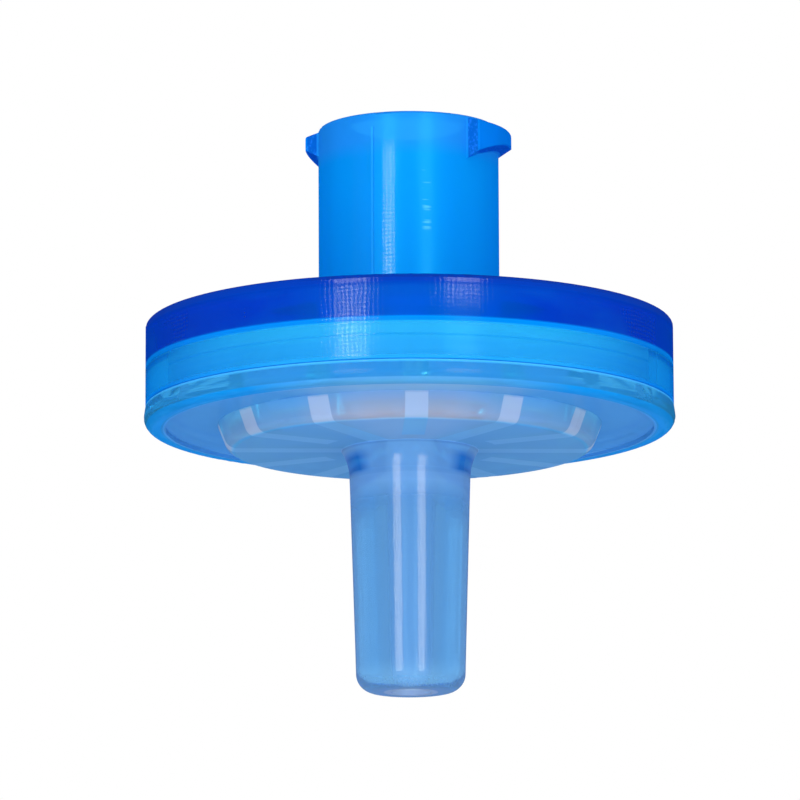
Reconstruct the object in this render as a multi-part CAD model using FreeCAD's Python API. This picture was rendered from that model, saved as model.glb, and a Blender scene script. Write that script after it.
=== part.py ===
import FreeCAD, Part

import math
import os

# Small disc syringe filter with a female Luer lock inlet above and a male Luer
# slip outlet below. Millimetres, +Z up. The origin is the centre of the inlet
# mouth, so the whole filter hangs below z = 0. The two Luer lock lugs lie on
# the X axis and the mould parting line of the tower runs down the Y sides.

# ---------------------------------------------------------------- dimensions

# Female Luer lock tower
TOWER_DIAMETER = 6.73
TOWER_HEIGHT = 7.45
TOWER_FOOT_FILLET = 0.15
RIM_FILLET = 0.10
LUER_TAPER = 0.06            # on the diameter, per mm of length
SOCKET_MOUTH_DIAMETER = 4.30
SOCKET_DEPTH = 7.60
SOCKET_LEAD_IN = 0.12
INLET_HOLE_DIAMETER = 1.60

# Lugs of the Luer lock
LUGS_ACROSS = 7.70
LUG_WIDTH = 3.08
LUG_TOP_DROP = 0.24          # how far the crest starts below the mouth
LUG_CREST_HEIGHT = 0.64      # at the middle of the lug
LUG_FLANK_DROP = 0.26        # the underside slopes down to the tower by this
LUG_LEAD = 5.0               # per turn of the right-hand Luer lock thread
LUG_EDGE_FILLET = 0.10

# Parting line left by the two mould halves
PARTING_RIDGE_WIDTH = 0.09
PARTING_RIDGE_PROUD = 0.03
PARTING_RIDGE_TOP_GAP = 0.55

# Blue upper half of the disc
DISC_DIAMETER = 19.60
TOP_PLATE_THICKNESS = 1.60
DISC_TOP_FILLET = 0.15
SKIRT_HEIGHT = 1.50
SKIRT_WALL = 0.82
SEAM_FILLET = 0.05
CLAMP_RING_WIDTH = 0.65
CLAMP_RING_HEIGHT = 0.32

# Filter membrane
MEMBRANE_EDGE_GAP = 0.53     # between its edge and the inside of the skirt
MEMBRANE_THICKNESS = 0.15
MEMBRANE_BARE_EDGE = 0.10    # stands out past the clamp ring

# Clear lower half of the disc
FLANGE_OVERHANG = 0.11       # its foot would stand out past the skirt if it were sharp
FLANGE_THICKNESS = 0.64
FLANGE_RING_DEPTH = 0.16     # low ring round the edge of the underside
FLANGE_RING_WIDTH = 0.85
FLANGE_EDGE_FILLET = 0.40
PLUG_TOP_CHAMFER = 0.10
BOWL_INSET = 2.79            # from the flange's edge to the rim of the bowl
BOWL_DEPTH = 0.95
BOWL_WALL_DRAFT = 22.0       # degrees from the axis
BOWL_CORNER_FILLET = 0.45
BOWL_FLOOR_THICKNESS = 0.88
BOWL_WALL_THICKNESS = 0.80   # at the top of the bowl
CAVITY_WALL_DRAFT = 18.0     # degrees from the axis
CAVITY_CORNER_FILLET = 0.45

# Ribs that carry the membrane
RIB_COUNT = 12
RIB_WIDTH = 0.78
LONG_RIB_INNER_RADIUS = 1.35
SHORT_RIB_INNER_RADIUS = 3.35
OUTLET_CLOCKING = -4.6       # turn of the clear half against the lugs, degrees

# Male Luer slip nozzle
NOZZLE_LENGTH = 9.03
NOZZLE_TIP_DIAMETER = 4.00
NOZZLE_TIP_FILLET = 0.68
NOZZLE_FLARE_HEIGHT = 1.05   # hollow curve where it leaves the bowl
NOZZLE_FLARE_SPREAD = 0.31
BORE_TIP_DIAMETER = 1.50
BORE_ROOT_DIAMETER = 1.90

# Gap where two pieces meet
SEAT_GAP = 0.01
PLUG_CLEARANCE = 0.02

# ------------------------------------------------------- levels and radii

LEAD = 1.0                   # extra length of a cutting tool past a face

tower_r = TOWER_DIAMETER / 2
tower_wall = tower_r - SOCKET_MOUTH_DIAMETER / 2
disc_r = DISC_DIAMETER / 2
skirt_inner_r = disc_r - SKIRT_WALL
plug_r = skirt_inner_r - PLUG_CLEARANCE
flange_r = disc_r + FLANGE_OVERHANG
membrane_r = skirt_inner_r - MEMBRANE_EDGE_GAP
clamp_outer_r = membrane_r - MEMBRANE_BARE_EDGE
clamp_inner_r = clamp_outer_r - CLAMP_RING_WIDTH
bowl_top_r = flange_r - BOWL_INSET
cavity_seat_r = bowl_top_r - BOWL_WALL_THICKNESS

mouth_z = 0.0
disc_top_z = mouth_z - TOWER_HEIGHT
ceiling_z = disc_top_z - TOP_PLATE_THICKNESS
skirt_bottom_z = ceiling_z - SKIRT_HEIGHT
flange_top_z = skirt_bottom_z - SEAT_GAP
flange_bottom_z = flange_top_z - FLANGE_THICKNESS
ring_bottom_z = flange_bottom_z - FLANGE_RING_DEPTH
bowl_floor_z = flange_bottom_z - BOWL_DEPTH
tip_z = bowl_floor_z - NOZZLE_LENGTH
clamp_bottom_z = ceiling_z - CLAMP_RING_HEIGHT
membrane_top_z = clamp_bottom_z - SEAT_GAP
membrane_bottom_z = membrane_top_z - MEMBRANE_THICKNESS
seat_z = membrane_bottom_z - SEAT_GAP
cavity_floor_z = bowl_floor_z + BOWL_FLOOR_THICKNESS


def vec(x, y, z):
    return FreeCAD.Vector(x, y, z)


AXIS = vec(0, 0, 1)


def cylinder(radius, bottom, top):
    return Part.makeCylinder(radius, top - bottom, vec(0, 0, bottom), AXIS)


def cone(bottom_radius, top_radius, bottom, top):
    return Part.makeCone(bottom_radius, top_radius, top - bottom, vec(0, 0, bottom), AXIS)


def ring(inner_radius, outer_radius, bottom, top):
    hole = cylinder(inner_radius, bottom - LEAD, top + LEAD)
    return cylinder(outer_radius, bottom, top).cut(hole)


def revolve(points):
    """Turn a closed outline of (radius, z) points about the Z axis."""
    corners = [vec(r, 0, z) for r, z in points]
    wire = Part.makePolygon(corners + [corners[0]])
    return Part.Face(wire).revolve(vec(0, 0, 0), AXIS, 360)


def circle_edges(shape, radius, z):
    """Full-circle edges of a solid at one radius and level."""
    found = []
    for edge in shape.Edges:
        curve = edge.Curve
        if isinstance(curve, Part.Circle):
            same_radius = abs(curve.Radius - radius) < 1e-4
            same_level = abs(curve.Center.z - z) < 1e-4
            if same_radius and same_level:
                found.append(edge)
    return found


def turned(shape, degrees):
    copy = shape.copy()
    copy.rotate(vec(0, 0, 0), AXIS, degrees)
    return copy


# --------------------------------------------------------- blue inlet half

def below_plane(point, rise_x, rise_y):
    """Block that fills the space under a sloping plane through a point."""
    size = TOWER_DIAMETER
    block = Part.makeBox(size, size, size, vec(-size / 2, -size / 2, -size))
    normal = vec(-rise_x, -rise_y, 1)
    block.Placement = FreeCAD.Placement(point, FreeCAD.Rotation(AXIS, normal))
    return block


def lug():
    """One Luer lock lug on the +X side, its ends cut square to the Y axis.

    Its underside slopes down towards the tower and climbs with the thread.
    """
    crest_r = LUGS_ACROSS / 2
    root_r = tower_r - tower_wall / 2
    crest_top = mouth_z - LUG_TOP_DROP
    crest_bottom = crest_top - LUG_CREST_HEIGHT
    climb = LUG_LEAD / (2 * math.pi * crest_r)
    flank = LUG_FLANK_DROP / (crest_r - tower_r)
    lowest = crest_bottom - LUG_FLANK_DROP - climb * LUG_WIDTH
    top_at_tower = mouth_z - RIM_FILLET
    ring_solid = revolve([
        (root_r, top_at_tower),
        (tower_r, top_at_tower),
        (crest_r, crest_top),
        (crest_r, lowest),
        (root_r, lowest),
    ])
    ring_solid = ring_solid.makeFillet(
        LUG_EDGE_FILLET, circle_edges(ring_solid, crest_r, crest_top))
    slab = Part.makeBox(
        crest_r + LEAD, LUG_WIDTH, top_at_tower - lowest + 2 * LEAD,
        vec(0, -LUG_WIDTH / 2, lowest - LEAD))
    under = below_plane(vec(crest_r, 0, crest_bottom), flank, climb)
    return ring_solid.common(slab).cut(under)


def parting_ridge():
    """Fine raised line down the -Y side of the tower."""
    top = mouth_z - PARTING_RIDGE_TOP_GAP
    return Part.makeBox(
        PARTING_RIDGE_WIDTH, tower_wall / 2 + PARTING_RIDGE_PROUD, top - disc_top_z,
        vec(-PARTING_RIDGE_WIDTH / 2, -tower_r - PARTING_RIDGE_PROUD, disc_top_z))


def socket():
    """Tapered female Luer socket with its lead-in and the inlet hole."""
    mouth_r = SOCKET_MOUTH_DIAMETER / 2
    bottom_r = mouth_r - LUER_TAPER / 2 * SOCKET_DEPTH
    taper = cone(bottom_r, mouth_r, mouth_z - SOCKET_DEPTH, mouth_z)
    over_r = mouth_r + LUER_TAPER / 2 * LEAD
    over = cone(mouth_r, over_r, mouth_z, mouth_z + LEAD)
    lead_in = cone(mouth_r, mouth_r + SOCKET_LEAD_IN + LEAD,
                   mouth_z - SOCKET_LEAD_IN, mouth_z + LEAD)
    hole = cylinder(INLET_HOLE_DIAMETER / 2, ceiling_z - LEAD, mouth_z - SOCKET_DEPTH + LEAD)
    return taper.fuse([over, lead_in, hole])


def make_inlet_housing():
    tower = cylinder(tower_r, disc_top_z - LEAD, mouth_z)
    tower = tower.makeFillet(RIM_FILLET, circle_edges(tower, tower_r, mouth_z))

    disc = cylinder(disc_r, skirt_bottom_z, disc_top_z)
    disc = disc.makeFillet(DISC_TOP_FILLET, circle_edges(disc, disc_r, disc_top_z))
    disc = disc.makeFillet(SEAM_FILLET, circle_edges(disc, disc_r, skirt_bottom_z))
    chamber = cylinder(skirt_inner_r, skirt_bottom_z - LEAD, ceiling_z)
    clamp = ring(clamp_inner_r, clamp_outer_r, clamp_bottom_z, ceiling_z)
    disc = disc.cut(chamber).fuse(clamp)

    body = disc.fuse(tower)
    body = body.makeFillet(TOWER_FOOT_FILLET, circle_edges(body, tower_r, disc_top_z))
    ridge = parting_ridge()
    body = body.fuse([lug(), turned(lug(), 180), ridge, turned(ridge, 180)])
    return body.cut(socket()).removeSplitter()


# ----------------------------------------------------------- membrane

def make_membrane():
    return cylinder(membrane_r, membrane_bottom_z, membrane_top_z)


# -------------------------------------------------------- clear outlet half

def bowl():
    """Shallow bowl that stands down from the flange."""
    bottom_r = bowl_top_r - BOWL_DEPTH * math.tan(math.radians(BOWL_WALL_DRAFT))
    solid = cone(bottom_r, bowl_top_r, bowl_floor_z, flange_bottom_z)
    return solid.makeFillet(BOWL_CORNER_FILLET, circle_edges(solid, bottom_r, bowl_floor_z))


def cavity():
    """Space under the membrane, with sloping walls and a rounded corner."""
    slope = math.tan(math.radians(CAVITY_WALL_DRAFT))
    floor_r = cavity_seat_r - (seat_z - cavity_floor_z) * slope
    solid = cone(floor_r, cavity_seat_r, cavity_floor_z, seat_z)
    solid = solid.makeFillet(CAVITY_CORNER_FILLET, circle_edges(solid, floor_r, cavity_floor_z))
    return solid.fuse(cylinder(cavity_seat_r, seat_z, seat_z + LEAD))


def nozzle():
    """Male Luer slip with a rounded tip."""
    tip_r = NOZZLE_TIP_DIAMETER / 2
    root_r = tip_r + LUER_TAPER / 2 * NOZZLE_LENGTH
    pin = cone(tip_r, root_r, tip_z, bowl_floor_z)
    return pin.makeFillet(NOZZLE_TIP_FILLET, circle_edges(pin, tip_r, tip_z))


def nozzle_flare():
    """Root of the nozzle, which spreads towards the bowl in a hollow curve."""
    low_z = bowl_floor_z - NOZZLE_FLARE_HEIGHT
    low_r = NOZZLE_TIP_DIAMETER / 2 + LUER_TAPER / 2 * (low_z - tip_z)
    high_r = low_r + NOZZLE_FLARE_SPREAD
    curve_r = (NOZZLE_FLARE_HEIGHT ** 2 + NOZZLE_FLARE_SPREAD ** 2) / (2 * NOZZLE_FLARE_SPREAD)
    half_turn = math.asin(NOZZLE_FLARE_HEIGHT / curve_r) / 2
    middle_r = low_r + curve_r * (1 - math.cos(half_turn))
    middle_z = low_z + curve_r * math.sin(half_turn)

    low = vec(low_r, 0, low_z)
    high = vec(high_r, 0, bowl_floor_z)
    curve = Part.Arc(low, vec(middle_r, 0, middle_z), high).toShape()
    axis_high = vec(0, 0, bowl_floor_z)
    axis_low = vec(0, 0, low_z)
    rest = Part.makePolygon([high, axis_high, axis_low, low])
    outline = Part.Wire([curve] + rest.Edges)
    return Part.Face(outline).revolve(vec(0, 0, 0), AXIS, 360)


def bore():
    """Tapered way out through the nozzle."""
    tip_r = BORE_TIP_DIAMETER / 2
    root_r = BORE_ROOT_DIAMETER / 2
    taper = cone(tip_r, root_r, tip_z, cavity_floor_z)
    mouth = cylinder(tip_r, tip_z - LEAD, tip_z)
    relief = cylinder(root_r, cavity_floor_z, seat_z)
    return taper.fuse([mouth, relief])


def rib(inner_radius, outer_radius, bottom):
    """Upright radial rib along +X with a rounded inner end."""
    half = RIB_WIDTH / 2
    height = seat_z - bottom
    web = Part.makeBox(outer_radius - inner_radius - half, RIB_WIDTH, height,
                       vec(inner_radius + half, -half, bottom))
    return web.fuse(cylinder(half, bottom, seat_z).translated(vec(inner_radius + half, 0, 0)))


def ribs():
    """Long and short ribs in turn, let into the wall and floor of the cavity."""
    outer_r = cavity_seat_r + BOWL_WALL_THICKNESS / 4
    bottom = cavity_floor_z - BOWL_FLOOR_THICKNESS / 4
    made = []
    for index in range(RIB_COUNT):
        inner_r = SHORT_RIB_INNER_RADIUS if index % 2 == 0 else LONG_RIB_INNER_RADIUS
        made.append(turned(rib(inner_r, outer_r, bottom), index * 360 / RIB_COUNT))
    return made


def make_outlet_housing():
    flange = cone(flange_r, disc_r, ring_bottom_z, flange_top_z)
    flange = flange.makeFillet(FLANGE_EDGE_FILLET, circle_edges(flange, flange_r, ring_bottom_z))
    flange = flange.makeFillet(SEAM_FILLET, circle_edges(flange, disc_r, flange_top_z))
    flange = flange.cut(cylinder(flange_r - FLANGE_RING_WIDTH, ring_bottom_z - LEAD, flange_bottom_z))
    plug = cylinder(plug_r, flange_bottom_z + FLANGE_THICKNESS / 2, seat_z)
    plug = plug.makeChamfer(PLUG_TOP_CHAMFER, circle_edges(plug, plug_r, seat_z))
    body = flange.fuse([plug, bowl(), nozzle(), nozzle_flare()])
    body = body.cut(cavity()).fuse(ribs())
    body = body.cut(bore()).removeSplitter()
    return turned(body, OUTLET_CLOCKING)


# ------------------------------------------------------------------- output

os.makedirs("parts", exist_ok=True)

pieces = {
    "inlet_housing": make_inlet_housing(),
    "membrane": make_membrane(),
    "outlet_housing": make_outlet_housing(),
}

for name, shape in pieces.items():
    if shape.ShapeType == "Compound" and len(shape.Solids) == 1:
        shape = shape.Solids[0]
    shape.exportStep("parts/" + name + ".step")
    box = shape.BoundBox
    print(name, shape.ShapeType, "solids", len(shape.Solids), "valid", shape.isValid(),
          "volume %.3f" % shape.Volume, "z %.3f to %.3f" % (box.ZMin, box.ZMax))
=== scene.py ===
import math

import bpy
from mathutils import Euler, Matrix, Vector


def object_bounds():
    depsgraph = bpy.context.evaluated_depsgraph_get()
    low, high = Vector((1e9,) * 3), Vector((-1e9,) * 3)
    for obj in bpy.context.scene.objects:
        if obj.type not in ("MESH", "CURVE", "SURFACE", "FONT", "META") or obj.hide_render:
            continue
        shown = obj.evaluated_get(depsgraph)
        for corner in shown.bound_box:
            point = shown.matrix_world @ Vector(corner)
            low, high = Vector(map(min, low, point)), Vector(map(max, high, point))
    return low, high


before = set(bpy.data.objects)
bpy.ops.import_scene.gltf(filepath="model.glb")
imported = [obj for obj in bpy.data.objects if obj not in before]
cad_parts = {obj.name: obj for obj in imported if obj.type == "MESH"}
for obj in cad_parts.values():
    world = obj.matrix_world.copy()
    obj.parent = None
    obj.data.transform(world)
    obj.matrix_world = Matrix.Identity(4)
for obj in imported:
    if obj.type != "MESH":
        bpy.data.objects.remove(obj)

cad_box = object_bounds()

# Syringe filter: blue inlet half, white membrane and pale blue outlet half, all
# from the frame. This file adds the plastics, the membrane's pores, the lamps,
# the floor and the camera. Lengths are in metres unless a name says otherwise.

MM = 0.001

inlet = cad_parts["inlet_housing"]
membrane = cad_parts["membrane"]
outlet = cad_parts["outlet_housing"]

filter_low, filter_high = cad_box
axis_middle = Vector((0, 0, (filter_low.z + filter_high.z) / 2))


# ---------------------------------------------------------------- sizes

def extent_mm(piece):
    """Lowest point, highest point and greatest radius of a piece from the frame."""
    points = [piece.matrix_world @ corner.co for corner in piece.data.vertices]
    heights = [point.z / MM for point in points]
    radii = [math.hypot(point.x, point.y) / MM for point in points]
    return min(heights), max(heights), max(radii)


# Sizes and places of the faces that look different, in millimetres and degrees.
# Heights are from the inlet mouth, angles from -Y towards +X.
SKIRT_BOTTOM, INLET_MOUTH, DISC_RADIUS = extent_mm(inlet)
NOZZLE_TIP, PLUG_TOP, FLANGE_RADIUS = extent_mm(outlet)

PLATE_THICKNESS = 1.60
SKIRT_HEIGHT = 1.50
SKIRT_WALL = 0.82
PLATE_UNDERSIDE = SKIRT_BOTTOM + SKIRT_HEIGHT
SKIRT_MIDDLE = SKIRT_BOTTOM + SKIRT_HEIGHT / 2
SKIRT_INNER_RADIUS = DISC_RADIUS - SKIRT_WALL

TOWER_FOOT = PLATE_UNDERSIDE + PLATE_THICKNESS
TOWER_FOOT_FILLET = 0.15
TOWER_RADIUS = 3.365
TOWER_FOOT_RADIUS = 3.50         # where the fillet meets the plate
TOWER_TOP_BAND = 1.35            # height of the deeper blue band under the mouth
SOCKET_RIM_RADIUS = 2.40         # just outside the socket's mouth
RIDGE_HALF_ANGLE = 2.5           # of the mould's parting line on the tower
RIDGE_PROUD = 0.03
LUG_RADIUS = 3.85
LUG_DEPTH = 1.75                 # from the mouth to below the lugs
LUG_BOTTOM = INLET_MOUTH - LUG_DEPTH
LUG_PROUD = 0.07                 # what stands out further than this is a lug

FLANGE_THICKNESS = 0.65          # from the skirt's foot down to its underside
FLANGE_UNDERSIDE = SKIRT_BOTTOM - FLANGE_THICKNESS
RING_ZONE_WIDTH = 0.69           # on the raised ring under the flange's edge
RING_ZONE_RADIUS = FLANGE_RADIUS - RING_ZONE_WIDTH
OFF_PLUG_RADIUS = SKIRT_INNER_RADIUS + 0.20
BOWL_INSET = 2.73                # from the flange's edge to the rim of the bowl
BOWL_RADIUS = FLANGE_RADIUS - BOWL_INSET
BOWL_DEPTH = 0.95
BOWL_WALL = 0.80
BOWL_FLOOR = FLANGE_UNDERSIDE - BOWL_DEPTH
BOWL_FLOOR_THICKNESS = 0.88
CAVITY_FLOOR = BOWL_FLOOR + BOWL_FLOOR_THICKNESS
CAVITY_RADIUS = BOWL_RADIUS - BOWL_WALL
NOZZLE_FLARE_HEIGHT = 1.05
NOZZLE_ROOT = BOWL_FLOOR - NOZZLE_FLARE_HEIGHT
NOZZLE_ROOT_RADIUS = 2.55
NOZZLE_SKIN_RADIUS = 1.90        # inside the nozzle's skin, outside its bore
NOZZLE_TIP_ROUNDING = 0.68
BORE_ZONE_RADIUS = 1.00          # just outside the bore
RIB_HALF_WIDTH = 0.39
RIB_PITCH = 60.0                 # between two long or two short ribs
CLOCKING = -4.6                  # turn of the clear half against the lugs
LONG_RIB_ANGLE = 90.0 + RIB_PITCH / 2 + CLOCKING
SHORT_RIB_ANGLE = 90.0 + CLOCKING
LONG_RIB_INNER_RADIUS = 1.35
SHORT_RIB_INNER_RADIUS = 3.35
RIB_OUTER_RADIUS = BOWL_RADIUS - 0.02   # they end in the bowl's wall

PAST_FACE = 0.03                 # how far a zone reaches past the faces it takes in


# ---------------------------------------------------------------- node helpers

def rgb(red, green, blue):
    """Colour for a node's socket, in linear light."""
    return (red, green, blue, 1.0)


WHITE = rgb(1.0, 1.0, 1.0)


class Nodes:
    """Short calls for building one node tree."""

    def __init__(self, tree):
        self.tree = tree
        tree.nodes.clear()

    def add(self, kind, inputs=None, **settings):
        node = self.tree.nodes.new(kind)
        for name, value in settings.items():
            setattr(node, name, value)
        for name, value in (inputs or {}).items():
            self.feed(node.inputs[name], value)
        return node

    def feed(self, socket, value):
        if isinstance(value, bpy.types.NodeSocket):
            self.tree.links.new(value, socket)
        else:
            socket.default_value = value

    def math(self, operation, first, second=0.0, clamp=False):
        node = self.add("ShaderNodeMath", {0: first, 1: second}, operation=operation)
        node.use_clamp = clamp
        return node.outputs[0]

    def ramp(self, value, low, high, out_low=0.0, out_high=1.0):
        node = self.add("ShaderNodeMapRange", {
            "Value": value, "From Min": low, "From Max": high,
            "To Min": out_low, "To Max": out_high})
        return node.outputs["Result"]

    def fade(self, value, start, end):
        """1 while the value is below start, 0 once it is past end."""
        return self.ramp(value, start, end, 1.0, 0.0)

    def blend(self, zone, outside, inside):
        """One number outside a zone and another in it."""
        return self.ramp(zone, 0.0, 1.0, outside, inside)

    def colour_mix(self, share, first, second):
        node = self.add("ShaderNodeMix", {0: share, 6: first, 7: second}, data_type="RGBA")
        return node.outputs[2]

    def shader_mix(self, share, first, second):
        node = self.add("ShaderNodeMixShader", {0: share, 1: first, 2: second})
        return node.outputs[0]

    def total(self, base, shares):
        """The base plus the share of each zone, held between 0 and 1."""
        for zone, share in shares:
            base = self.math("ADD", base, self.math("MULTIPLY", zone, share))
        base.node.use_clamp = True
        return base

    def layered(self, colour, layers):
        """The colour with the colour of each zone laid over it in turn."""
        for zone, zone_colour in layers:
            colour = self.colour_mix(zone, colour, zone_colour)
        return colour

    def point_mm(self):
        """The shaded point in millimetres, in the filter's own frame."""
        place = self.add("ShaderNodeTexCoord").outputs["Object"]
        scaled = self.add("ShaderNodeVectorMath", {0: place, "Scale": 1 / MM}, operation="SCALE")
        return scaled.outputs[0]

    def noise(self, point, per_mm, detail=2.0):
        """Noise whose grain is set by three counts per millimetre."""
        stretched = self.add("ShaderNodeVectorMath", {0: point, 1: per_mm}, operation="MULTIPLY")
        node = self.add("ShaderNodeTexNoise", {
            "Vector": stretched.outputs[0], "Scale": 1.0, "Detail": detail, "Roughness": 0.5})
        return node.outputs[0]

    def bump(self, height, depth_mm):
        node = self.add("ShaderNodeBump", {
            "Height": height, "Strength": 1.0, "Distance": depth_mm * MM})
        return node.outputs[0]

    def slant(self):
        """0 where a surface faces the eye, 1 where it is seen edge on."""
        return self.add("ShaderNodeLayerWeight", {"Blend": 0.5}).outputs["Facing"]

    def seen(self):
        """1 for rays from the camera, also after plastic has bent them, otherwise 0."""
        rays = self.add("ShaderNodeLightPath").outputs
        return self.math("MAXIMUM", rays["Is Camera Ray"], rays["Is Transmission Ray"])


def new_material(name):
    material = bpy.data.materials.new(name)
    material.use_nodes = True
    return material, Nodes(material.node_tree)


class Place:
    """Where the shaded point lies on the filter, and zones with soft edges there."""

    def __init__(self, n):
        self.n = n
        self.point = n.point_mm()
        x, y, self.height = n.add("ShaderNodeSeparateXYZ", {0: self.point}).outputs
        self.radius = n.math("SQRT", n.math(
            "ADD", n.math("MULTIPLY", x, x), n.math("MULTIPLY", y, y)))
        turn = n.math("ARCTAN2", x, n.math("MULTIPLY", y, -1.0))
        self.angle = n.math("MULTIPLY", turn, 180 / math.pi)

    def above(self, value, level, soft=0.02):
        return self.n.ramp(value, level - soft, level + soft)

    def below(self, value, level, soft=0.02):
        return self.n.fade(value, level - soft, level + soft)

    def between(self, value, low, high, soft=0.02):
        return self.both(self.above(value, low, soft), self.below(value, high, soft))

    def both(self, first, second):
        return self.n.math("MULTIPLY", first, second)

    def either(self, first, second):
        return self.n.math("MAXIMUM", first, second)

    def ribs(self, first_angle, inner_radius):
        """The ribs that start at one radius and repeat round the axis."""
        n = self.n
        turns = n.math("DIVIDE", n.math("SUBTRACT", self.angle, first_angle), RIB_PITCH)
        off = n.math("SUBTRACT", turns, n.math("ROUND", turns))
        off_angle = n.math("MULTIPLY", n.math("ABSOLUTE", off), math.radians(RIB_PITCH))
        across = n.math("MULTIPLY", off_angle, self.radius)
        along = self.between(self.radius, inner_radius, RIB_OUTER_RADIUS)
        return self.both(along, self.below(across, RIB_HALF_WIDTH + PAST_FACE))


# ---------------------------------------------------------------- plastics

PLASTIC_IOR = 1.50
MOST_MIRRORED_OUTSIDE = 0.10     # keeps surfaces seen at a slant from turning grey
GLOSS_ROUGHNESS = 0.06
GROOVE_SHARE = 0.2               # of the relief's full depth
UNEVEN = 0.06                    # how much the milk varies along its flow
RELIEF_DEPTH_MM = 0.008
THROUGH_MILK = 0.1               # share of the milk's light that goes through it

MARK_PITCH = 0.15                # of the tool marks, in millimetres
PLATE_MARK_PITCH = 0.165         # round the plate and the skirt
DRIFT_ROUND = 1.2                # how many pitches the marks wander round the wall
DRIFT_UP = 1.6                   # and up it
MARK_EDGE = (-0.3, 0.9)          # the summed waves outside a mark and on it


def turned_grooves(n, point, relief):
    """Normal with the relief and the fine grooves that the mould leaves on a piece."""
    grooves = n.noise(point, (0.7, 0.7, 9.0))
    height = n.math("ADD", n.math("MULTIPLY", grooves, GROOVE_SHARE), relief)
    return n.bump(height, RELIEF_DEPTH_MM)


def tool_marks(n, place, pitch_round):
    """Rows of small glossy marks on a round wall, 0 between them and 1 on them."""
    arc = n.math("MULTIPLY", n.math("RADIANS", place.angle), place.radius)
    drift = n.noise(place.point, (1.2, 1.2, 1.2))
    ways = ((arc, pitch_round, DRIFT_ROUND), (place.height, MARK_PITCH, DRIFT_UP))
    waves = []
    for way, pitch, wander in ways:
        cycles = n.math("ADD", n.math("DIVIDE", way, pitch), n.math("MULTIPLY", drift, wander))
        waves.append(n.math("SINE", n.math("MULTIPLY", cycles, 2 * math.pi)))
    return n.ramp(n.math("ADD", *waves), *MARK_EDGE)


def plastic_surface(n, place, haze, milk_colour, skin_tint, mirror_tint, relief, film):
    """Skin of a moulded piece: it bends and mirrors light, and is partly milky.

    haze is the milky share. film is a thin layer over the plastic, given as the
    share that it takes and its shader.
    """
    from_inside = n.add("ShaderNodeNewGeometry").outputs["Backfacing"]
    outside_relief = n.math("MULTIPLY", relief, n.math("SUBTRACT", 1.0, from_inside))
    bend = n.add("ShaderNodeBsdfRefraction", {
        "Color": skin_tint, "Roughness": 0.0, "IOR": PLASTIC_IOR})
    mirror = n.add("ShaderNodeBsdfGlossy", {
        "Color": n.colour_mix(from_inside, mirror_tint, WHITE),
        "Roughness": GLOSS_ROUGHNESS,
        "Normal": turned_grooves(n, place.point, outside_relief)})
    fresnel = n.add("ShaderNodeFresnel", {"IOR": PLASTIC_IOR}).outputs[0]
    most = n.blend(from_inside, MOST_MIRRORED_OUTSIDE, 1.0)

    flow = n.noise(place.point, (0.25, 0.25, 0.08), detail=3.0)
    uneven = n.ramp(flow, 0.3, 0.7, 1 - UNEVEN, 1 + UNEVEN)
    cloudy = n.math("MULTIPLY", haze, uneven, clamp=True)
    milk = n.shader_mix(
        THROUGH_MILK,
        n.add("ShaderNodeBsdfDiffuse", {"Color": milk_colour}).outputs[0],
        n.add("ShaderNodeBsdfTranslucent", {"Color": milk_colour}).outputs[0])
    inside = n.shader_mix(cloudy, bend.outputs[0], milk)
    film_share, film_shader = film
    skin = n.shader_mix(film_share, inside, film_shader)
    return n.shader_mix(n.math("MINIMUM", fresnel, most), skin, mirror.outputs[0])


def finish_plastic(n, surface, lamp_share, left_alone, dye_per_mm):
    """Lets lamplight through and fills the piece with its dye.

    Volume Absorption takes in one minus its colour, so left_alone holds the
    shares of red, green and blue that the dye leaves alone.
    """
    lamp_ray = n.add("ShaderNodeLightPath").outputs["Is Shadow Ray"]
    passed = n.add("ShaderNodeBsdfTransparent", {"Color": lamp_share})
    dye = n.add("ShaderNodeVolumeAbsorption", {
        "Color": left_alone, "Density": dye_per_mm / MM})
    n.add("ShaderNodeOutputMaterial", {
        "Surface": n.shader_mix(lamp_ray, surface, passed.outputs[0]),
        "Volume": dye.outputs[0]})


# ---------------------------------------------------------------- blue inlet half

OUTER_WALL_DEPTH = 0.18          # the disc's outer wall starts this far under its face
PLATE_TOP_DEPTH = 0.30           # the same for the plate's top
PLATE_EDGE_DEPTH = 0.38          # height of the dark edge round the plate's top
PLATE_LINE = (-0.14, 0.04)       # bright line, low and high, from the plate's underside
# the milkier band at the skirt's foot is a painted glint along the seam
SKIRT_FOOT_HEIGHT = 0.12
WELD_HALF_DEPTH = 0.10
PLUG_EDGE = (-0.06, 0.02)        # low and high, from the plug's top
LUG_FACE_DEPTH = 0.06
RUNG_ANGLES = (32.5, 37.0)       # where small bright scratches cross the tower's wall
RUNG_HEIGHTS = (-4.5, -2.1)
GLOSSY_HALF_ANGLE = 15.0         # the tower's wall is glossy this near its parting line
GLOSSY_TOP = -1.3
DIM_GLOSS_ANGLES = (25.0, 55.0)       # duller stretch of the disc's wall, below its top, where the lamp's reflection is painted down
DIM_GLOSS_TOP = -8.3

TOWER_SATIN = 0.09               # share of azure sheen on the tower
PLATE_RELIEF = 0.22              # of the tool marks, as shares of the full depth
TOWER_RELIEF = 0.12


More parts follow.
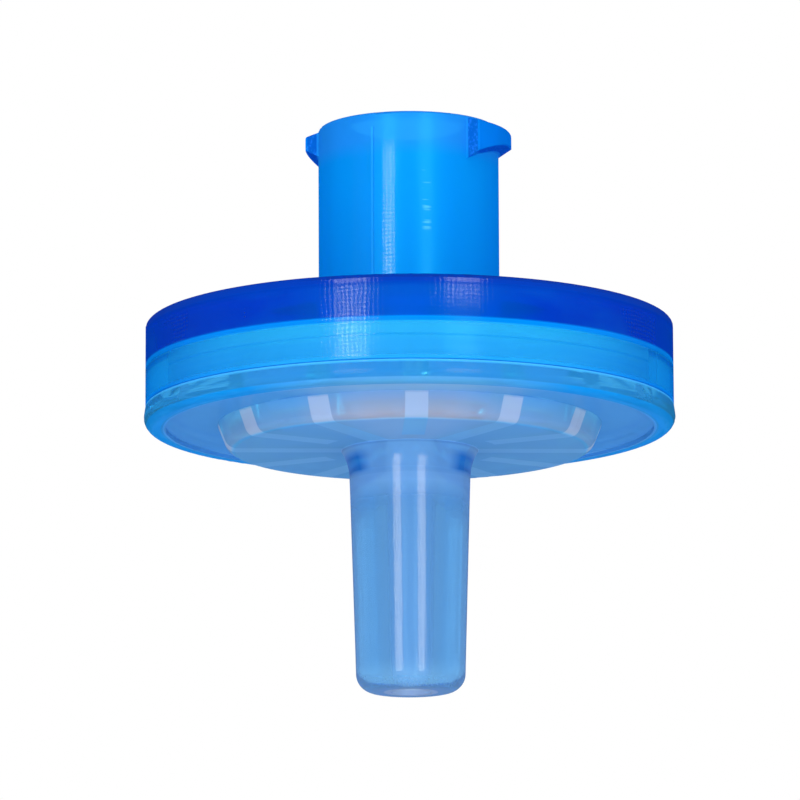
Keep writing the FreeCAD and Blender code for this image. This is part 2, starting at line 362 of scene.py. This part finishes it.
class BlueZones:
    """Zones of the blue half that differ in milkiness, tint or gloss."""

    def __init__(self, place):
        n, radius, height = place.n, place.radius, place.height
        both, above, below = place.both, place.above, place.below
        self.outer = above(radius, DISC_RADIUS - OUTER_WALL_DEPTH, soft=0.1)
        self.plate = both(self.outer, above(height, PLATE_UNDERSIDE))
        self.skirt = both(self.outer, below(height, PLATE_UNDERSIDE))
        self.above_plate = both(
            above(height, TOWER_FOOT - PLATE_TOP_DEPTH), above(radius, SOCKET_RIM_RADIUS))
        beside_tower = both(
            above(radius, TOWER_FOOT_RADIUS, soft=0.05),
            below(height, TOWER_FOOT + TOWER_FOOT_FILLET))
        self.plate_top = both(self.above_plate, beside_tower)
        self.tower = n.math("SUBTRACT", self.above_plate, self.plate_top)
        self.tower_top = both(self.tower, above(height, INLET_MOUTH - TOWER_TOP_BAND, soft=0.3))
        self.lugs = both(above(radius, TOWER_RADIUS + LUG_PROUD), above(height, LUG_BOTTOM))
        self.lug_fronts = above(radius, LUG_RADIUS - LUG_FACE_DEPTH)
        self.plate_edge = both(
            self.plate, above(height, TOWER_FOOT - PLATE_EDGE_DEPTH, soft=0.12))
        line_low, line_high = PLATE_LINE
        self.plate_line = both(self.outer, place.between(
            height, PLATE_UNDERSIDE + line_low, PLATE_UNDERSIDE + line_high, soft=0.05))
        self.skirt_foot_glint = both(
            self.outer, below(height, SKIRT_BOTTOM + SKIRT_FOOT_HEIGHT, soft=0.05))
        self.weld = both(below(height, PLATE_UNDERSIDE), place.between(
            radius, SKIRT_INNER_RADIUS - WELD_HALF_DEPTH, SKIRT_INNER_RADIUS + WELD_HALF_DEPTH))

        off_parting = n.math("PINGPONG", n.math("ABSOLUTE", place.angle), 90.0)
        # the parting ridge, which carries a painted highlight
        self.ridge_highlight = both(self.tower, both(
            above(radius, TOWER_RADIUS + RIDGE_PROUD),
            below(off_parting, RIDGE_HALF_ANGLE, soft=0.3)))
        self.rungs = both(
            place.between(place.angle, *RUNG_ANGLES, soft=1.2),
            place.between(height, *RUNG_HEIGHTS, soft=0.1))
        self.dull = both(self.tower, place.either(
            above(off_parting, GLOSSY_HALF_ANGLE, soft=2.0),
            above(height, GLOSSY_TOP, soft=0.3)))
        self.dim_gloss = both(
            place.between(place.angle, *DIM_GLOSS_ANGLES, soft=5.0),
            both(self.outer, below(height, DIM_GLOSS_TOP, soft=0.5)))


def blue_haze(n, zone):
    """How milky the blue half is from place to place."""
    haze = n.blend(zone.weld, 0.04, 0.96)
    return n.total(haze, (
        (zone.plate, 0.66),
        (zone.plate_edge, 0.20),
        (zone.skirt, 0.38),
        (zone.plate_line, 0.30),
        (zone.skirt_foot_glint, 0.50),
        (zone.above_plate, 0.76),
        (zone.tower_top, 0.12),
    ))


def tower_colour(n, place, zone):
    """Blue of the tower, with a painted highlight on its parting ridge, scratches and grainy
    lugs.
    """
    grain = n.ramp(n.noise(place.point, (14.0, 14.0, 10.0), detail=1.0), 0.5, 0.75)
    lug_colour = n.colour_mix(grain, rgb(0.0, 0.07, 0.62), rgb(0.01, 0.15, 0.9))
    lug_colour = n.colour_mix(zone.lug_fronts, lug_colour, rgb(0.0, 0.17, 0.85))
    scratches = n.ramp(n.noise(place.point, (0.7, 0.7, 6.0), detail=1.0), 0.55, 0.64)
    return n.layered(rgb(0.0, 0.27, 0.90), (
        (zone.tower_top, rgb(0.01, 0.22, 0.84)),
        # painted highlight on the parting ridge
        (zone.ridge_highlight, rgb(0.02, 0.36, 1.0)),
        (place.both(zone.rungs, scratches), rgb(0.09, 0.46, 1.0)),
        (zone.lugs, lug_colour),
    ))


def plate_colour(n, place, slant):
    """Deep blue of the plate: clouded, with painted light that makes it lighter in the middle
    and at its far sides.
    """
    clouds = n.ramp(n.noise(place.point, (0.3, 0.3, 0.7), detail=3.0), 0.45, 0.7)
    # painted light: the plate turns lighter where it faces the eye and where it is seen nearly
    # edge on
    facing = n.fade(slant, 0.03, 0.16)
    lit = n.math("MAXIMUM", n.math("MULTIPLY", clouds, 0.5), facing)
    lit = n.math("MAXIMUM", lit, n.ramp(slant, 0.5, 0.9, 0.0, 0.4))
    return n.colour_mix(lit, rgb(0.0, 0.043, 0.46), rgb(0.0, 0.092, 0.53))


def skirt_colour(n, place, slant, streaks):
    """Azure of the skirt, streaked round the axis and deeper at a slant."""
    high = n.colour_mix(streaks, rgb(0.0, 0.33, 0.80), rgb(0.03, 0.43, 0.90))
    low = n.colour_mix(streaks, rgb(0.0, 0.24, 0.69), rgb(0.02, 0.33, 0.80))
    colour = n.colour_mix(place.above(place.height, SKIRT_MIDDLE, soft=0.5), low, high)
    return n.colour_mix(n.ramp(slant, 0.15, 0.6), colour, rgb(0.0, 0.20, 0.80))


def weld_colour(n, place, streaks):
    """White frosting inside the skirt, bluer where it is welded to the plug."""
    bonded = n.colour_mix(streaks, rgb(0.70, 0.70, 0.97), rgb(1.0, 0.92, 1.0))
    edge_low, edge_high = PLUG_EDGE
    plug_edge = place.between(place.height, PLUG_TOP + edge_low, PLUG_TOP + edge_high)
    return n.layered(WHITE, (
        (place.below(place.height, PLUG_TOP, soft=0.25), bonded),
        (plug_edge, rgb(0.5, 0.66, 0.9)),
    ))


def blue_colour(n, place, zone, slant):
    """Milk colour of the blue half."""
    streaks = n.noise(place.point, (0.3, 0.3, 7.0), detail=3.0)
    return n.layered(tower_colour(n, place, zone), (
        (zone.plate, plate_colour(n, place, slant)),
        (zone.plate_edge, rgb(0.0, 0.035, 0.38)),
        (zone.skirt, skirt_colour(n, place, slant, streaks)),
        (zone.plate_line, rgb(0.0, 0.26, 0.88)),
        (zone.weld, weld_colour(n, place, streaks)),
    ))


def blue_gloss(n, place, zone, slant):
    """Tint of the gloss outside, and the relief of the tool marks on the walls."""
    plate_marks = place.both(tool_marks(n, place, PLATE_MARK_PITCH), n.fade(slant, 0.4, 0.7))
    marks = n.colour_mix(zone.tower, plate_marks, tool_marks(n, place, MARK_PITCH))
    shine = n.colour_mix(zone.tower, rgb(0.9, 1.0, 0.8), rgb(1.0, 0.95, 0.75))
    tint = n.layered(rgb(0.15, 0.25, 0.2), (
        (marks, shine),
        (zone.dull, rgb(0.02, 0.12, 0.12)),
        # the lamp's reflection is painted down on this stretch of the disc's wall
        (zone.dim_gloss, rgb(0.04, 0.10, 0.10)),
        (zone.plate_edge, rgb(0.05, 0.10, 0.15)),
        (zone.plate_top, rgb(0.6, 0.7, 0.8)),
    ))
    relief = n.math("MULTIPLY", marks, n.blend(zone.tower, PLATE_RELIEF, TOWER_RELIEF))
    return tint, n.math("MULTIPLY", relief, place.either(zone.tower, zone.outer))


def blue_plastic():
    """See-through blue plastic of the inlet half, with an azure sheen on the tower."""
    material, n = new_material("blue_plastic")
    place = Place(n)
    zone = BlueZones(place)
    slant = n.slant()
    mirror_tint, relief = blue_gloss(n, place, zone, slant)
    sheen = n.add("ShaderNodeBsdfGlossy", {"Color": rgb(0.02, 0.85, 1.0), "Roughness": 0.40})
    satin = n.math("MULTIPLY", zone.tower, TOWER_SATIN)
    surface = plastic_surface(
        n, place, blue_haze(n, zone), blue_colour(n, place, zone, slant),
        WHITE, mirror_tint, relief, (satin, sheen.outputs[0]))
    finish_plastic(
        n, surface, lamp_share=rgb(0.95, 0.97, 1.0),
        left_alone=rgb(0.0, 0.84, 0.996), dye_per_mm=1.9)
    return material


# ---------------------------------------------------------------- pale outlet half

SEAM_DEPTH = 0.10                # painted glint along the seam under the skirt
FLOOR_ZONE_DEPTH = 0.05          # the bowl floor's zone reaches this far below it
ROOT_GAP = 0.02                  # from the bowl's floor down to the root's zone
SHOULDER_HEIGHT = 0.8            # of the cloudy band below the nozzle's flare
ROOT_SHADE_DEPTH = 0.3               # from the bowl's floor to the painted shade at the root's sides
CAVITY_RIM_HEIGHT = 0.35         # the cavity's wall is deeper blue above this
PAINTED_LIT_ANGLE = 23.4           # middle of the side where painted light makes the underside whiter
PAINTED_LIT_HALF_ANGLE = 25.0

CLEAR_RELIEF = 0.12              # of the tool marks, as a share of the full depth
NOZZLE_BLOOM = 0.2               # share of painted whitish sheen at the nozzle's very edge
BLOOM_SHARPNESS = 3.0


class ClearZones:
    """Zones of the pale half that differ in milkiness, tint or gloss."""

    def __init__(self, place):
        n, radius, height = place.n, place.radius, place.height
        both, above, below = place.both, place.above, place.below
        off_bore = above(radius, BORE_ZONE_RADIUS)
        ribs = place.either(
            place.ribs(LONG_RIB_ANGLE, LONG_RIB_INNER_RADIUS),
            place.ribs(SHORT_RIB_ANGLE, SHORT_RIB_INNER_RADIUS))
        self.cavity = both(
            below(radius, CAVITY_RADIUS + PAST_FACE), above(height, CAVITY_FLOOR - PAST_FACE))
        self.cavity_rim = above(height, CAVITY_FLOOR + CAVITY_RIM_HEIGHT, soft=0.1)
        self.rib_sides = both(ribs, self.cavity)
        self.bore = below(radius, BORE_ZONE_RADIUS)

        outside_bowl = place.between(height, BOWL_FLOOR - PAST_FACE, FLANGE_UNDERSIDE)
        self.bowl = both(below(radius, BOWL_RADIUS), outside_bowl)
        self.bowl_floor = both(above(radius, NOZZLE_ROOT_RADIUS), place.between(
            height, BOWL_FLOOR - FLOOR_ZONE_DEPTH, BOWL_FLOOR + PAST_FACE))
        self.bowl_wall = n.math("SUBTRACT", self.bowl, self.bowl_floor, clamp=True)
        self.under_bowl = below(radius, BOWL_RADIUS, soft=0.3)
        self.footprints = both(ribs, outside_bowl)

        self.annulus = both(
            place.between(radius, BOWL_RADIUS, RING_ZONE_RADIUS),
            below(height, FLANGE_UNDERSIDE + PAST_FACE))
        self.ring = both(
            above(radius, RING_ZONE_RADIUS, soft=0.1), below(height, FLANGE_UNDERSIDE))
        off_plug = above(radius, OFF_PLUG_RADIUS)
        self.flange_side = both(off_plug, above(height, FLANGE_UNDERSIDE))
        self.seam = both(above(height, SKIRT_BOTTOM - SEAM_DEPTH, soft=0.04), off_plug)

        self.nozzle = both(below(height, BOWL_FLOOR), off_bore)
        self.root = both(off_bore, place.between(
            height, NOZZLE_ROOT, BOWL_FLOOR - ROOT_GAP, soft=0.1))
        self.shoulder = both(above(radius, NOZZLE_SKIN_RADIUS), both(
            above(height, NOZZLE_ROOT - SHOULDER_HEIGHT, soft=0.4),
            below(height, NOZZLE_ROOT, soft=0.12)))
        self.tip = below(height, NOZZLE_TIP + NOZZLE_TIP_ROUNDING, soft=0.35)
        self.root_shade_band = below(height, BOWL_FLOOR - ROOT_SHADE_DEPTH, soft=0.15)
        self.painted_lit_side = place.between(
            place.angle, PAINTED_LIT_ANGLE - PAINTED_LIT_HALF_ANGLE,
            PAINTED_LIT_ANGLE + PAINTED_LIT_HALF_ANGLE, soft=12.0)


def clear_haze(n, zone):
    """How milky the pale half is from place to place."""
    haze = n.blend(zone.cavity, 0.32, 0.45)
    return n.total(haze, (
        (zone.rib_sides, 0.50),
        (zone.flange_side, 0.10),
        (zone.bore, 0.10),
        (zone.root, 0.25),
        (zone.shoulder, 0.25),
        (zone.bowl, 0.20),
        (zone.bowl_wall, 0.15),
        (zone.footprints, 0.12),
        (zone.ring, 0.28),
        (zone.annulus, 0.20),
        (zone.seam, 0.50),
    ))


def underside_layers(n, zone):
    """Colours of the bowl and of the flange's underside, with painted light that makes them
    whiter on one side.
    """
    tints = (
        # the second colour of each pair is the painted lit tint
        (zone.under_bowl, rgb(0.17, 0.36, 0.66), rgb(0.34, 0.35, 0.45)),
        (zone.bowl_floor, rgb(0.06, 0.48, 1.0), rgb(0.42, 0.70, 1.0)),
        (zone.annulus, rgb(0.09, 0.38, 0.93), rgb(0.29, 0.58, 0.93)),
        (zone.ring, rgb(0.0, 0.34, 1.0), rgb(0.10, 0.42, 0.82)),
    )
    return [(part, n.colour_mix(zone.painted_lit_side, plain, lit_tint)) for part, plain, lit_tint in tints]


def clear_colour(n, zone):
    """Milk colour of the pale half."""
    # the lighter colour along the seam is a painted glint
    flange = n.colour_mix(zone.seam, rgb(0.03, 0.35, 0.79), rgb(0.05, 0.42, 0.95))
    footprints = n.colour_mix(zone.bowl_floor, rgb(0.33, 0.45, 0.69), rgb(0.15, 0.55, 1.0))
    # painted shade at the root's sides, where the surface is seen at a slant
    root_shade = n.math("MULTIPLY", n.ramp(n.slant(), 0.22, 0.42), zone.root_shade_band)
    root = n.colour_mix(root_shade, rgb(0.14, 0.36, 0.74), rgb(0.0, 0.15, 0.60))
    cavity = n.colour_mix(zone.cavity_rim, rgb(0.10, 0.40, 0.95), rgb(0.0, 0.2, 0.85))
    underside = n.layered(flange, underside_layers(n, zone))
    return n.layered(underside, (
        (zone.footprints, footprints),
        (zone.nozzle, rgb(0.09, 0.28, 0.64)),
        (zone.root, root),
        (zone.shoulder, rgb(0.16, 0.38, 0.76)),
        (zone.tip, rgb(0.18, 0.46, 0.84)),
        (zone.cavity, cavity),
        (zone.rib_sides, rgb(0.46, 0.60, 0.87)),
        (zone.bore, rgb(0.44, 0.57, 0.80)),
    ))


def clear_plastic():
    """See-through pale plastic of the outlet half, with a painted whitish sheen at the nozzle's
    sides.
    """
    material, n = new_material("clear_plastic")
    place = Place(n)
    zone = ClearZones(place)
    skin_tint = n.layered(rgb(0.55, 0.84, 1.0), (
        (zone.bowl, rgb(0.36, 0.86, 1.0)),
        (zone.nozzle, rgb(0.43, 0.64, 0.84)),
        (place.either(zone.cavity, zone.bore), WHITE),
    ))
    marks = tool_marks(n, place, MARK_PITCH)
    mirror_tint = n.layered(rgb(0.75, 0.75, 0.65), (
        (marks, rgb(1.0, 1.0, 0.9)),
        (zone.flange_side, rgb(0.2, 0.2, 0.2)),
    ))
    relief = n.math("MULTIPLY", marks, CLEAR_RELIEF)
    # painted sheen: whitish where the nozzle is seen edge on
    edge_sheen = n.add("ShaderNodeBsdfDiffuse", {"Color": rgb(0.42, 0.52, 0.78)})
    bloom = n.math("MULTIPLY", n.math("POWER", n.slant(), BLOOM_SHARPNESS),
                   n.math("MULTIPLY", zone.nozzle, NOZZLE_BLOOM))
    surface = plastic_surface(
        n, place, clear_haze(n, zone), clear_colour(n, zone),
        skin_tint, mirror_tint, relief, (bloom, edge_sheen.outputs[0]))
    finish_plastic(
        n, surface, lamp_share=rgb(0.97, 0.98, 1.0),
        left_alone=rgb(0.0, 0.8, 1.0), dye_per_mm=0.1)
    return material


# ---------------------------------------------------------------- membrane

PORES_PER_MM = 14.0
CLOUDS_PER_MM = 0.6
PORE_DEPTH_MM = 0.01
THROUGH_FILM = 0.35              # share of the light that goes through the film


def membrane_film():
    """White filter film with pores far finer than a millimetre."""
    material, n = new_material("membrane_film")
    point = n.point_mm()
    pores = n.noise(point, (PORES_PER_MM,) * 3, detail=3.0)
    cloud = n.noise(point, (CLOUDS_PER_MM,) * 3)
    colour = n.colour_mix(cloud, rgb(0.88, 0.90, 0.92), rgb(0.94, 0.95, 0.96))
    normal = n.bump(pores, PORE_DEPTH_MM)
    back = n.add("ShaderNodeBsdfDiffuse", {"Color": colour, "Normal": normal})
    through = n.add("ShaderNodeBsdfTranslucent", {"Color": colour})
    film = n.shader_mix(THROUGH_FILM, back.outputs[0], through.outputs[0])
    n.add("ShaderNodeOutputMaterial", {"Surface": film})
    return material


def dress(piece, material):
    piece.data.materials.clear()
    piece.data.materials.append(material)


dress(inlet, blue_plastic())
dress(outlet, clear_plastic())
dress(membrane, membrane_film())


# ---------------------------------------------------------------- camera

CAMERA_AZIMUTH = math.radians(23.4)
CAMERA_ELEVATION = math.radians(-10.6)
CAMERA_DISTANCE = 235 * MM
CAMERA_LENS_MM = 285.0
SENSOR_WIDTH_MM = 36.0
CAMERA_ROLL = math.radians(-0.25)
SEES_FROM = 10 * MM
SEES_TO = 50.0
AIM_BELOW_MOUTH = 10.24 * MM
AIM_LEFT_OF_AXIS = 0.356 * MM     # the filter stands a little right of the middle


def towards(azimuth, elevation):
    """Unit vector from the filter at this azimuth and elevation."""
    flat = math.cos(elevation)
    return Vector((math.sin(azimuth) * flat, -math.cos(azimuth) * flat, math.sin(elevation)))


def add_camera():
    data = bpy.data.cameras.new("camera")
    data.lens = CAMERA_LENS_MM
    data.sensor_width = SENSOR_WIDTH_MM
    data.clip_start = SEES_FROM
    data.clip_end = SEES_TO
    camera = bpy.data.objects.new("camera", data)
    bpy.context.scene.collection.objects.link(camera)
    back = towards(CAMERA_AZIMUTH, CAMERA_ELEVATION)
    facing = (-back).to_track_quat("-Z", "Y")
    right = facing @ Vector((1, 0, 0))
    aim = Vector((0, 0, filter_high.z - AIM_BELOW_MOUTH)) - right * AIM_LEFT_OF_AXIS
    camera.rotation_mode = "QUATERNION"
    camera.rotation_quaternion = facing @ Euler((0, 0, CAMERA_ROLL)).to_quaternion()
    camera.location = aim + back * CAMERA_DISTANCE
    bpy.context.scene.camera = camera


add_camera()


# ---------------------------------------------------------------- lamps and world

LAMP_DISTANCE = 300 * MM
LOW_LAMP_DISTANCE = 100 * MM     # keeps that lamp above the floor
PANEL_HEIGHT = 250 * MM
PANEL_ELEVATION = 2.0
PANEL_RADIANCE = 5.0
PANEL_COLUMNS = 6
COLUMN_EDGE = 0.6                # of a sine from -1 to 1
DARK_COLUMN = 0.35
BRIGHT_COLUMN = 1.65
WARM = (1.0, 0.87, 0.70)
NEUTRAL = (1.0, 1.0, 1.0)
MIRRORED_WORLD = 0.08            # strength of the white world in the gloss


def add_lamp(name, azimuth, elevation, size, radiance, colour, distance=LAMP_DISTANCE):
    """Softbox that faces the filter; radiance 1 would look white in a mirror.

    azimuth counts from the camera's, in degrees. size is the width and height.
    """
    width, height = size
    data = bpy.data.lights.new(name, "AREA")
    data.shape = "RECTANGLE"
    data.size = width
    data.size_y = height
    data.energy = radiance * math.pi * width * height
    data.color = colour
    lamp = bpy.data.objects.new(name, data)
    bpy.context.scene.collection.objects.link(lamp)
    away = towards(CAMERA_AZIMUTH + math.radians(azimuth), math.radians(elevation))
    lamp.location = axis_middle + away * distance
    lamp.rotation_mode = "QUATERNION"
    lamp.rotation_quaternion = (-away).to_track_quat("-Z", "Y")
    lamp.visible_camera = False
    return lamp


def split_into_columns(lamp, columns):
    """Panel of upright rows of small lamps, as their mirror image shows."""
    lamp.data.use_nodes = True
    n = Nodes(lamp.data.node_tree)
    across = n.add("ShaderNodeNewGeometry").outputs["Parametric"]
    split = n.add("ShaderNodeSeparateXYZ", {0: across}).outputs[0]
    wave = n.math("SINE", n.math("MULTIPLY", split, 2 * math.pi * columns))
    strength = n.ramp(wave, -COLUMN_EDGE, COLUMN_EDGE, DARK_COLUMN, BRIGHT_COLUMN)
    glow = n.add("ShaderNodeEmission", {"Color": WHITE, "Strength": strength})
    n.add("ShaderNodeOutputLight", {"Surface": glow.outputs[0]})


for name, azimuth, width in (("left_panel", -24.4, 76 * MM), ("right_panel", 23.0, 78 * MM)):
    panel = add_lamp(
        name, azimuth, PANEL_ELEVATION, size=(width, PANEL_HEIGHT),
        radiance=PANEL_RADIANCE, colour=WARM)
    split_into_columns(panel, PANEL_COLUMNS)

front_fill = add_lamp(
    "front_fill", azimuth=0, elevation=-8, size=(200 * MM, 110 * MM),
    radiance=1.5, colour=NEUTRAL)
low_fill = add_lamp(
    "low_fill", azimuth=0, elevation=-35, size=(80 * MM, 50 * MM),
    radiance=2.6, colour=NEUTRAL, distance=LOW_LAMP_DISTANCE)
for fill in (front_fill, low_fill):
    fill.visible_glossy = False
    fill.visible_transmission = False


def make_world():
    """Plain white surroundings, of which the gloss shows a small share only."""
    world = bpy.data.worlds.new("studio")
    bpy.context.scene.world = world
    world.use_nodes = True
    n = Nodes(world.node_tree)
    white = n.add("ShaderNodeBackground", {"Color": WHITE, "Strength": 1.0})
    faint = n.add("ShaderNodeBackground", {"Color": WHITE, "Strength": MIRRORED_WORLD})
    mirrored = n.add("ShaderNodeLightPath").outputs["Is Glossy Ray"]
    lighting = n.shader_mix(mirrored, white.outputs[0], faint.outputs[0])
    n.add("ShaderNodeOutputWorld", {
        "Surface": n.shader_mix(n.seen(), lighting, white.outputs[0])})


make_world()


# ---------------------------------------------------------------- floor

FLOOR_DROP = 60 * MM
FLOOR_HALF = 3.0
FLOOR_GLOW_SHARE = 0.6           # of what the camera sees, the rest takes light and shadow


def add_floor():
    mesh = bpy.data.meshes.new("floor")
    level = filter_low.z - FLOOR_DROP
    corners = [(x, y, level) for x, y in (
        (-FLOOR_HALF, -FLOOR_HALF), (FLOOR_HALF, -FLOOR_HALF),
        (FLOOR_HALF, FLOOR_HALF), (-FLOOR_HALF, FLOOR_HALF))]
    mesh.from_pydata(corners, [], [(0, 1, 2, 3)])
    floor = bpy.data.objects.new("floor", mesh)
    bpy.context.scene.collection.objects.link(floor)
    material, n = new_material("pale_floor")
    matt = n.add("ShaderNodeBsdfDiffuse", {"Color": rgb(0.88, 0.88, 0.88)})
    glow = n.add("ShaderNodeEmission", {"Color": rgb(0.97, 0.97, 0.97), "Strength": 1.0})
    glowing = n.math("MULTIPLY", n.seen(), FLOOR_GLOW_SHARE)
    n.add("ShaderNodeOutputMaterial", {
        "Surface": n.shader_mix(glowing, matt.outputs[0], glow.outputs[0])})
    mesh.materials.append(material)
    floor.visible_glossy = False


add_floor()


# ---------------------------------------------------------------- look and end

scene = bpy.context.scene
scene.view_settings.view_transform = "Standard"
scene.cycles.max_bounces = 24
scene.cycles.transmission_bounces = 24
scene.cycles.glossy_bounces = 12
scene.cycles.transparent_max_bounces = 24
scene.cycles.sample_clamp_indirect = 4.0
